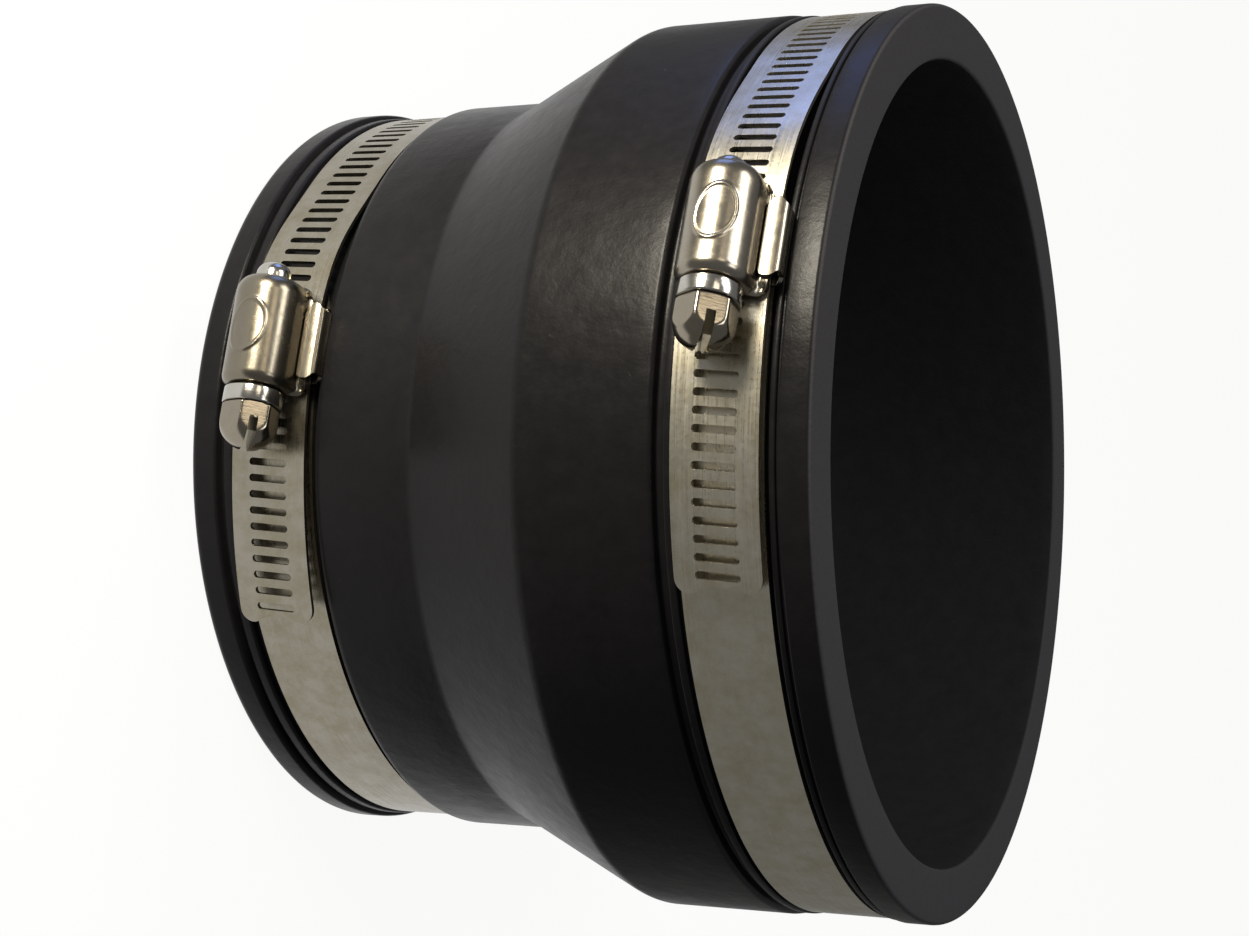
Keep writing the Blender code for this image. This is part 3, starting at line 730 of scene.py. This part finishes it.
# Stainless sheet, pressed and then tumbled: bright satin with soft edges and small shallow dents,
# a little yellow where the light catches it.
PRESS_MOTTLE, PRESS_GRIT = 2.381, 0.3846
pressed = bpy.data.materials.new("tumbled_pressed_stainless")
pressed.use_nodes = True
tree = pressed.node_tree
shader = tree.nodes["Principled BSDF"]
place = add_node(tree, "TexCoord").outputs["Object"]
mottle = add_node(
    tree, "TexNoise", {"Vector": place, "Scale": 1000 / PRESS_MOTTLE, "Detail": 4.0, "Roughness": 0.65}
).outputs["Fac"]
grit = add_node(
    tree, "TexNoise", {"Vector": place, "Scale": 1000 / PRESS_GRIT, "Detail": 2.0, "Roughness": 0.6}
).outputs["Fac"]
colour = add_node(
    tree, "Mix", {0: mottle, 6: to_linear("#9E988D"), 7: to_linear("#8F8777")}, data_type="RGBA"
).outputs[2]
tree.links.new(colour, shader.inputs["Base Color"])
rough = add_node(
    tree, "MapRange", {"Value": mottle, "From Min": 0.3, "From Max": 0.7, "To Min": 0.2, "To Max": 0.29}
).outputs[0]
tree.links.new(rough, shader.inputs["Roughness"])
dents = add_node(
    tree, "Bump", {"Height": mottle, "Strength": 0.2, "Distance": 0.0001}
).outputs["Normal"]
sparkle = add_node(
    tree, "Bump", {"Height": grit, "Strength": 0.25, "Distance": 0.00002, "Normal": dents}
).outputs["Normal"]
tree.links.new(sparkle, shader.inputs["Normal"])
shader.inputs["Metallic"].default_value = 1.0
# The small end's pressings are the same sheet painted darker like its band, as painted shade against the
# bright floor's glare
shaded_pressed = darkened_copy(pressed, "painted_shade_pressed_stainless", "#857F74", "#777060")
for clamp, steel in zip(CLAMPS, (pressed, shaded_pressed)):
    points, quads = saddle_sheet(clamp)
    saddle = surface(clamp["name"] + "_clamp_saddle", points, quads, place=clamp["place"])
    finished(saddle, SADDLE_THICK, False, 0.22, 3)
    saddle.data.materials.append(steel)
    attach(saddle, "coupling")
    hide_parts(clamp["name"] + "_saddle")

# The housings: deep-drawn stainless covers over the worm, with a flange each side held under the
# saddle's folds, and an inward rim at each end that carries the screw. A plain oval is stamped on top.
HOUSING_LENGTH = 18.0
WIDE_FLANGE, TIGHT_FLANGE = 6.9, 6.1
CROWN_RADIUS = 5.35
FOOT_FILLET = 0.45
TIP_END_ROUND, HEX_END_ROUND = (2.8, 2.0), (1.7, 1.5)
TONGUE_BACK, TONGUE_DROOP = 2.2, 0.8
RIM_HOLE = 3.1
STAMP_LONG, STAMP_WIDE, STAMP_LINE, STAMP_HIGH, STAMP_LEAN = 4.25, 3.0, 0.24, 0.17, 0.12
DIMPLE_DEEP, DIMPLE_SIZE, DIMPLE_OUT, DIMPLE_ALONG = 0.3, 0.4, 6.1, 7.7


def housing_side(clamp, half):
    """Half of the cover's section: flat flange, foot arc, upright side and quarter-circle crown.

    Gives z, x, how much of the point belongs to the arch and not to the flange, and its outward z
    and x.
    """
    base = clamp["flange"] + HOUSING_WALL
    foot_turn = np.linspace(0, np.pi / 2, 7)
    side = np.linspace(base + FOOT_FILLET, clamp["worm"], 12)[1:-1]
    arch = np.linspace(0, np.pi / 2, 61)
    z = np.concatenate(
        [
            np.linspace(half, CROWN_RADIUS + FOOT_FILLET, 9)[:-1],
            CROWN_RADIUS + FOOT_FILLET * (1 - np.sin(foot_turn)),
            np.full(len(side), CROWN_RADIUS),
            CROWN_RADIUS * np.cos(arch),
        ]
    )
    x = np.concatenate(
        [
            np.full(8, base),
            base + FOOT_FILLET * (1 - np.cos(foot_turn)),
            side,
            clamp["worm"] + CROWN_RADIUS * np.sin(arch),
        ]
    )
    share = np.concatenate([np.zeros(8), 1 - np.cos(foot_turn), np.ones(len(side) + len(arch))])
    below = 8 + 7 + len(side)
    out_z = np.concatenate([np.ones(below), np.cos(arch)])
    out_x = np.concatenate([np.zeros(below), np.sin(arch)])
    return z, x, share, out_z, out_x


def housing_end(long, deep):
    """Way along the worm to one end, and how far the wall has turned in: quarter ellipse, then rim."""
    bend = np.linspace(0, np.pi / 2, 14)
    rim = np.linspace(deep, CROWN_RADIUS - RIM_HOLE, 5)[1:]
    straight = HOUSING_LENGTH / 2 - long
    along = np.concatenate(
        [
            np.linspace(0, straight, 61)[:-1],
            straight + long * np.sin(bend),
            np.full(4, HOUSING_LENGTH / 2),
        ]
    )
    return along, np.concatenate([np.zeros(60), deep * (1 - np.cos(bend)), rim])


def housing_sheet(clamp):
    """Outer face of the cover, a grid over the way round the section and the way along the worm.

    Where the section is flange the turning in fades out and the end is a rounded tongue instead,
    shorter at the tip's end, that droops by the square of its way out. The oval's bead and the
    dimple on the wide tongue are bell curves of the distance from their line and centre.
    """
    wide, tight = housing_side(clamp, WIDE_FLANGE), housing_side(clamp, TIGHT_FLANGE)
    z, x, share, out_z, out_x = (
        np.concatenate([one, other[-2::-1] * sign])
        for one, other, sign in zip(wide, tight, (1, 1, 1, 1, 1))
    )
    mirrored = np.arange(len(z)) >= len(wide[0])
    z, out_z = np.where(mirrored, -z, z), np.where(mirrored, -out_z, out_z)
    tip_along, tip_in = housing_end(*TIP_END_ROUND)
    hex_along, hex_in = housing_end(*HEX_END_ROUND)
    along = np.concatenate([-tip_along[:0:-1], hex_along])
    turned_in = share[:, None] * np.concatenate([tip_in[:0:-1], hex_in])
    half = np.where(mirrored, TIGHT_FLANGE, WIDE_FLANGE)
    corner = np.where(mirrored, 1.0, 2.0)
    into = np.clip((np.abs(z) - half + corner) / corner, 0, 1)
    drawn = corner * (1 - np.sqrt(np.maximum(1 - into**2, 0))) * (1 - share)
    back = TONGUE_BACK * np.clip((np.abs(z) - CROWN_RADIUS) / 0.5, 0, 1) * (1 - share)
    shorter = drawn[:, None] + back[:, None] * (along < 0)
    y = along * (1 - shorter / (HOUSING_LENGTH / 2))
    around = np.concatenate([[0], np.cumsum(np.hypot(np.diff(x), np.diff(z)))])
    around -= around[np.argmax(x)]
    round_crown = (-around[:, None] - clamp["stamp"]) / STAMP_WIDE + STAMP_LEAN * y / STAMP_LONG
    oval = np.hypot(round_crown, y / STAMP_LONG)
    off_line = (oval - 1) * 0.5 * (STAMP_LONG + STAMP_WIDE)
    bead = STAMP_HIGH * np.exp(-((off_line / STAMP_LINE) ** 2))
    off_dimple = np.hypot(z[:, None] - DIMPLE_OUT, y - DIMPLE_ALONG) / DIMPLE_SIZE
    dimple = DIMPLE_DEEP * np.exp(-(off_dimple**2)) * (1 - share)[:, None]
    droop = TONGUE_DROOP * np.clip((np.abs(y) - 6.0) / 3, 0, 1) ** 2 * (1 - share)[:, None]
    push = bead - turned_in
    x = x[:, None] + out_x[:, None] * push - dimple - droop
    z = z[:, None] + out_z[:, None] * push
    return np.stack([x, y, z], -1), grid_quads(*x.shape)


for clamp, steel in zip(CLAMPS, (pressed, shaded_pressed)):
    points, quads = housing_sheet(clamp)
    housing = surface(clamp["name"] + "_clamp_housing", points, quads, place=clamp["place"], weld=0.02)
    finished(housing, HOUSING_WALL, False, 0.15, even=False)
    housing.data.materials.append(steel)
    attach(housing, "coupling")
    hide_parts(clamp["name"] + "_housing")

# The worm screws: turned and rolled from steel and bright plated, each in one piece from the domed
# tip through the worm to a flanged collar and an 8 mm hexagon with a slot for a screwdriver.
WORM_ROOT, JOURNAL = 2.9, 2.8
THREAD_CREST, THREAD_FOOT = 0.8, 1.7
WORM_END = HOUSING_LENGTH / 2 - 1.2
COLLAR_START, COLLAR_RADIUS = 9.3, 4.65
HEX_START, HEX_END, HEX_FLATS = 11.9, 18.8, 8.0
DRIVER_WIDE, DRIVER_DEEP = 1.4, 4.4
DOME_LONG, TIP_DOME_LONG = 4.4, 2.4
SCREW_STEPS = 144


def worm_shaft(tip_end):
    """Radius over (way along, angle): tip dome, journals, worm and collar.

    The worm's radius is the root plus a ridge whose height falls in straight flanks from its crest,
    and the ridge's place moves one pitch along for each turn; at both ends of the thread it fades.
    """
    turn = np.linspace(0, 2 * np.pi, SCREW_STEPS + 1)
    dome = np.linspace(0, np.pi / 2, 10)
    tip = np.stack([-tip_end + TIP_DOME_LONG * (1 - np.cos(dome)), JOURNAL * np.sin(dome)], 1)
    thread = np.linspace(-WORM_END, WORM_END, 190)
    edge = 0.25
    collar_bend = np.linspace(0, np.pi / 2, 5)
    shape = np.concatenate(
        [
            tip,
            [(-WORM_END - 0.02, JOURNAL)],
            np.stack([thread, np.full(len(thread), WORM_ROOT)], 1),
            [(WORM_END + 0.02, JOURNAL), (COLLAR_START, JOURNAL)],
            np.stack(
                [
                    COLLAR_START + edge * (1 - np.cos(collar_bend)),
                    COLLAR_RADIUS - edge + edge * np.sin(collar_bend),
                ],
                1,
            ),
            np.stack(
                [
                    HEX_START - 0.1 - edge * (1 - np.sin(collar_bend)),
                    COLLAR_RADIUS - edge + edge * np.cos(collar_bend),
                ],
                1,
            ),
            [(HEX_START, 3.2), (HEX_START + 0.9, 3.0), (HEX_START + 0.9, 0)],
        ]
    )
    along, base = shape[:, :1], shape[:, 1:]
    phase = np.mod(along / SLOT_PITCH - turn / (2 * np.pi) + 0.5, 1) - 0.5
    flank = (THREAD_FOOT / 2 - np.abs(phase) * SLOT_PITCH) / (THREAD_FOOT / 2 - THREAD_CREST / 2)
    fade = np.clip((WORM_END - np.abs(along)) / 1.0, 0, 1) * (np.abs(along) < WORM_END)
    radius = base + (WORM_RADIUS - WORM_ROOT) * np.clip(flank, 0, 1) * fade
    points = np.stack(
        np.broadcast_arrays(radius * np.cos(turn), radius * np.sin(turn), along), -1
    )
    return points, grid_quads(len(along), len(turn)), np.stack(
        np.broadcast_arrays(turn * JOURNAL, along), -1
    )


def hexagon_head():
    """Radius over (way along, angle): a hexagon with rounded corners, met by a dome near its end.

    The hexagon's radius is the flat's distance over the largest cosine to the six face directions,
    softened by a high power mean; the head takes the smaller of it and the dome, also softened.
    """
    turn = np.linspace(0, 2 * np.pi, SCREW_STEPS + 1)
    faces = np.radians(60 * np.arange(6))
    towards = np.maximum(np.cos(turn[:, None] - faces), 0)
    flat = HEX_FLATS / 2 / (np.sum(towards**160, 1) ** (1 / 160))
    corner = HEX_FLATS / 2 / np.cos(np.pi / 6)
    dome_turn = np.linspace(0, np.pi / 2, 33)
    knots_along = HEX_END - DOME_LONG * (1 - np.cos(dome_turn))
    knots_radius = corner * np.sin(dome_turn)
    along = np.concatenate(
        [
            [HEX_START + 0.05],
            HEX_START + 0.05 + np.linspace(0, 0.5, 7),
            np.linspace(HEX_START + 0.8, HEX_END - DOME_LONG, 6),
            HEX_END - DOME_LONG * (1 - np.linspace(0, 1, 61)[1:]) ** 1.6,
        ]
    )
    dome = np.interp(-along, -knots_along, knots_radius)
    foot = corner * 1.02 - 0.5 * (1 - np.clip((along - HEX_START) / 0.5, 0, 1)) ** 2
    limit = np.minimum(dome, foot)[:, None]
    radius = (np.maximum(limit, 1e-6) ** -48 + flat[None, :] ** -48) ** (-1 / 48)
    radius[0] = radius[-1] = 0
    points = np.stack(
        np.broadcast_arrays(radius * np.cos(turn), radius * np.sin(turn), along[:, None]), -1
    )
    return points, grid_quads(len(along), len(turn)), np.stack(
        np.broadcast_arrays(turn * 4, along[:, None]), -1
    )


# Carbon steel, turned and bright plated: the brightest metal here, with faint turning rings round
# the shank and a cool tint; the rings are drawn 0.3 mm apart so that they show.
RING_LONG, RING_PITCH, PLATE_MOTTLE = 12.5, 0.303, 2.0
plated = bpy.data.materials.new("bright_plated_steel")
plated.use_nodes = True
tree = plated.node_tree
shader = tree.nodes["Principled BSDF"]
place = add_node(tree, "TexCoord").outputs["Object"]
flat = add_node(tree, "UVMap", uv_map="millimetres").outputs[0]
ringed = add_node(
    tree, "Mapping", {"Vector": flat, "Scale": (1 / RING_LONG, 1 / RING_PITCH, 1.0)}
).outputs[0]
rings = add_node(
    tree, "TexNoise", {"Vector": ringed, "Scale": 1.0, "Detail": 3.0, "Roughness": 0.6}
).outputs["Fac"]
mottle = add_node(
    tree, "TexNoise", {"Vector": place, "Scale": 1000 / PLATE_MOTTLE, "Detail": 4.0, "Roughness": 0.65}
).outputs["Fac"]
colour = add_node(
    tree, "Mix", {0: mottle, 6: to_linear("#BFBDB8"), 7: to_linear("#ABA79C")}, data_type="RGBA"
).outputs[2]
tree.links.new(colour, shader.inputs["Base Color"])
rough = add_node(
    tree, "MapRange", {"Value": rings, "From Min": 0.3, "From Max": 0.7, "To Min": 0.12, "To Max": 0.2}
).outputs[0]
tree.links.new(rough, shader.inputs["Roughness"])
turned_marks = add_node(
    tree, "Bump", {"Height": rings, "Strength": 0.3, "Distance": 0.00003}
).outputs["Normal"]
dents = add_node(
    tree, "Bump", {"Height": mottle, "Strength": 0.3, "Distance": 0.00008, "Normal": turned_marks}
).outputs["Normal"]
tree.links.new(dents, shader.inputs["Normal"])
shader.inputs["Metallic"].default_value = 1.0
# The hexagons are the same steel painted darker and browner: painted shade for the deep driver slots and
# the heads round them
wear_and_shade = darkened_copy(plated, "painted_shade_plated_steel", "#968F82", "#857D6E")
# The screw's own Z lies along the worm and its X outward
LAID = np.array([[1, 0, 0, 0], [0, 0, 1, 0], [0, -1, 0, 0], [0, 0, 0, 1]], float)
for clamp in CLAMPS:
    spin = np.radians(clamp["hex_turn"])
    spun = np.eye(4)
    spun[:2, :2] = [[np.cos(spin), -np.sin(spin)], [np.sin(spin), np.cos(spin)]]
    out = np.eye(4)
    out[0, 3] = clamp["worm"]
    laid = clamp["place"] @ out @ LAID @ spun
    points, quads, flat_points = worm_shaft(clamp["tip"])
    shaft = surface(clamp["name"] + "_clamp_screw", points, quads, flat_points, laid)
    points, quads, flat_points = hexagon_head()
    head = surface(clamp["name"] + "_screw_head", points, quads, flat_points, laid)
    reach = np.array([-1, 1])
    x, y, z = np.meshgrid(
        10 * reach, DRIVER_WIDE / 2 * reach, HEX_END + DRIVER_DEEP * reach, indexing="ij"
    )
    corners = np.stack([x, y, z], -1)
    sides = np.array(
        [(0, 1, 3, 2), (4, 6, 7, 5), (0, 4, 5, 1), (2, 3, 7, 6), (0, 2, 6, 4), (1, 5, 7, 3)]
    )
    blade = surface(clamp["name"] + "_blade", corners, sides, place=laid)
    cut = head.modifiers.new("driver_slot", "BOOLEAN")
    cut.operation, cut.solver, cut.object = "DIFFERENCE", "EXACT", blade
    bpy.context.view_layer.update()
    seen_head = head.evaluated_get(bpy.context.evaluated_depsgraph_get())
    slotted = bpy.data.meshes.new_from_object(seen_head)
    head.modifiers.clear()
    head.data = slotted
    bpy.data.objects.remove(blade)
    for piece, metal in ((shaft, plated), (head, wear_and_shade)):
        finished(piece, 0, False, 0.1)
        piece.data.materials.clear()
        piece.data.materials.append(metal)
        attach(piece, clamp["name"] + "_screw")
    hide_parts(clamp["name"] + "_screw")
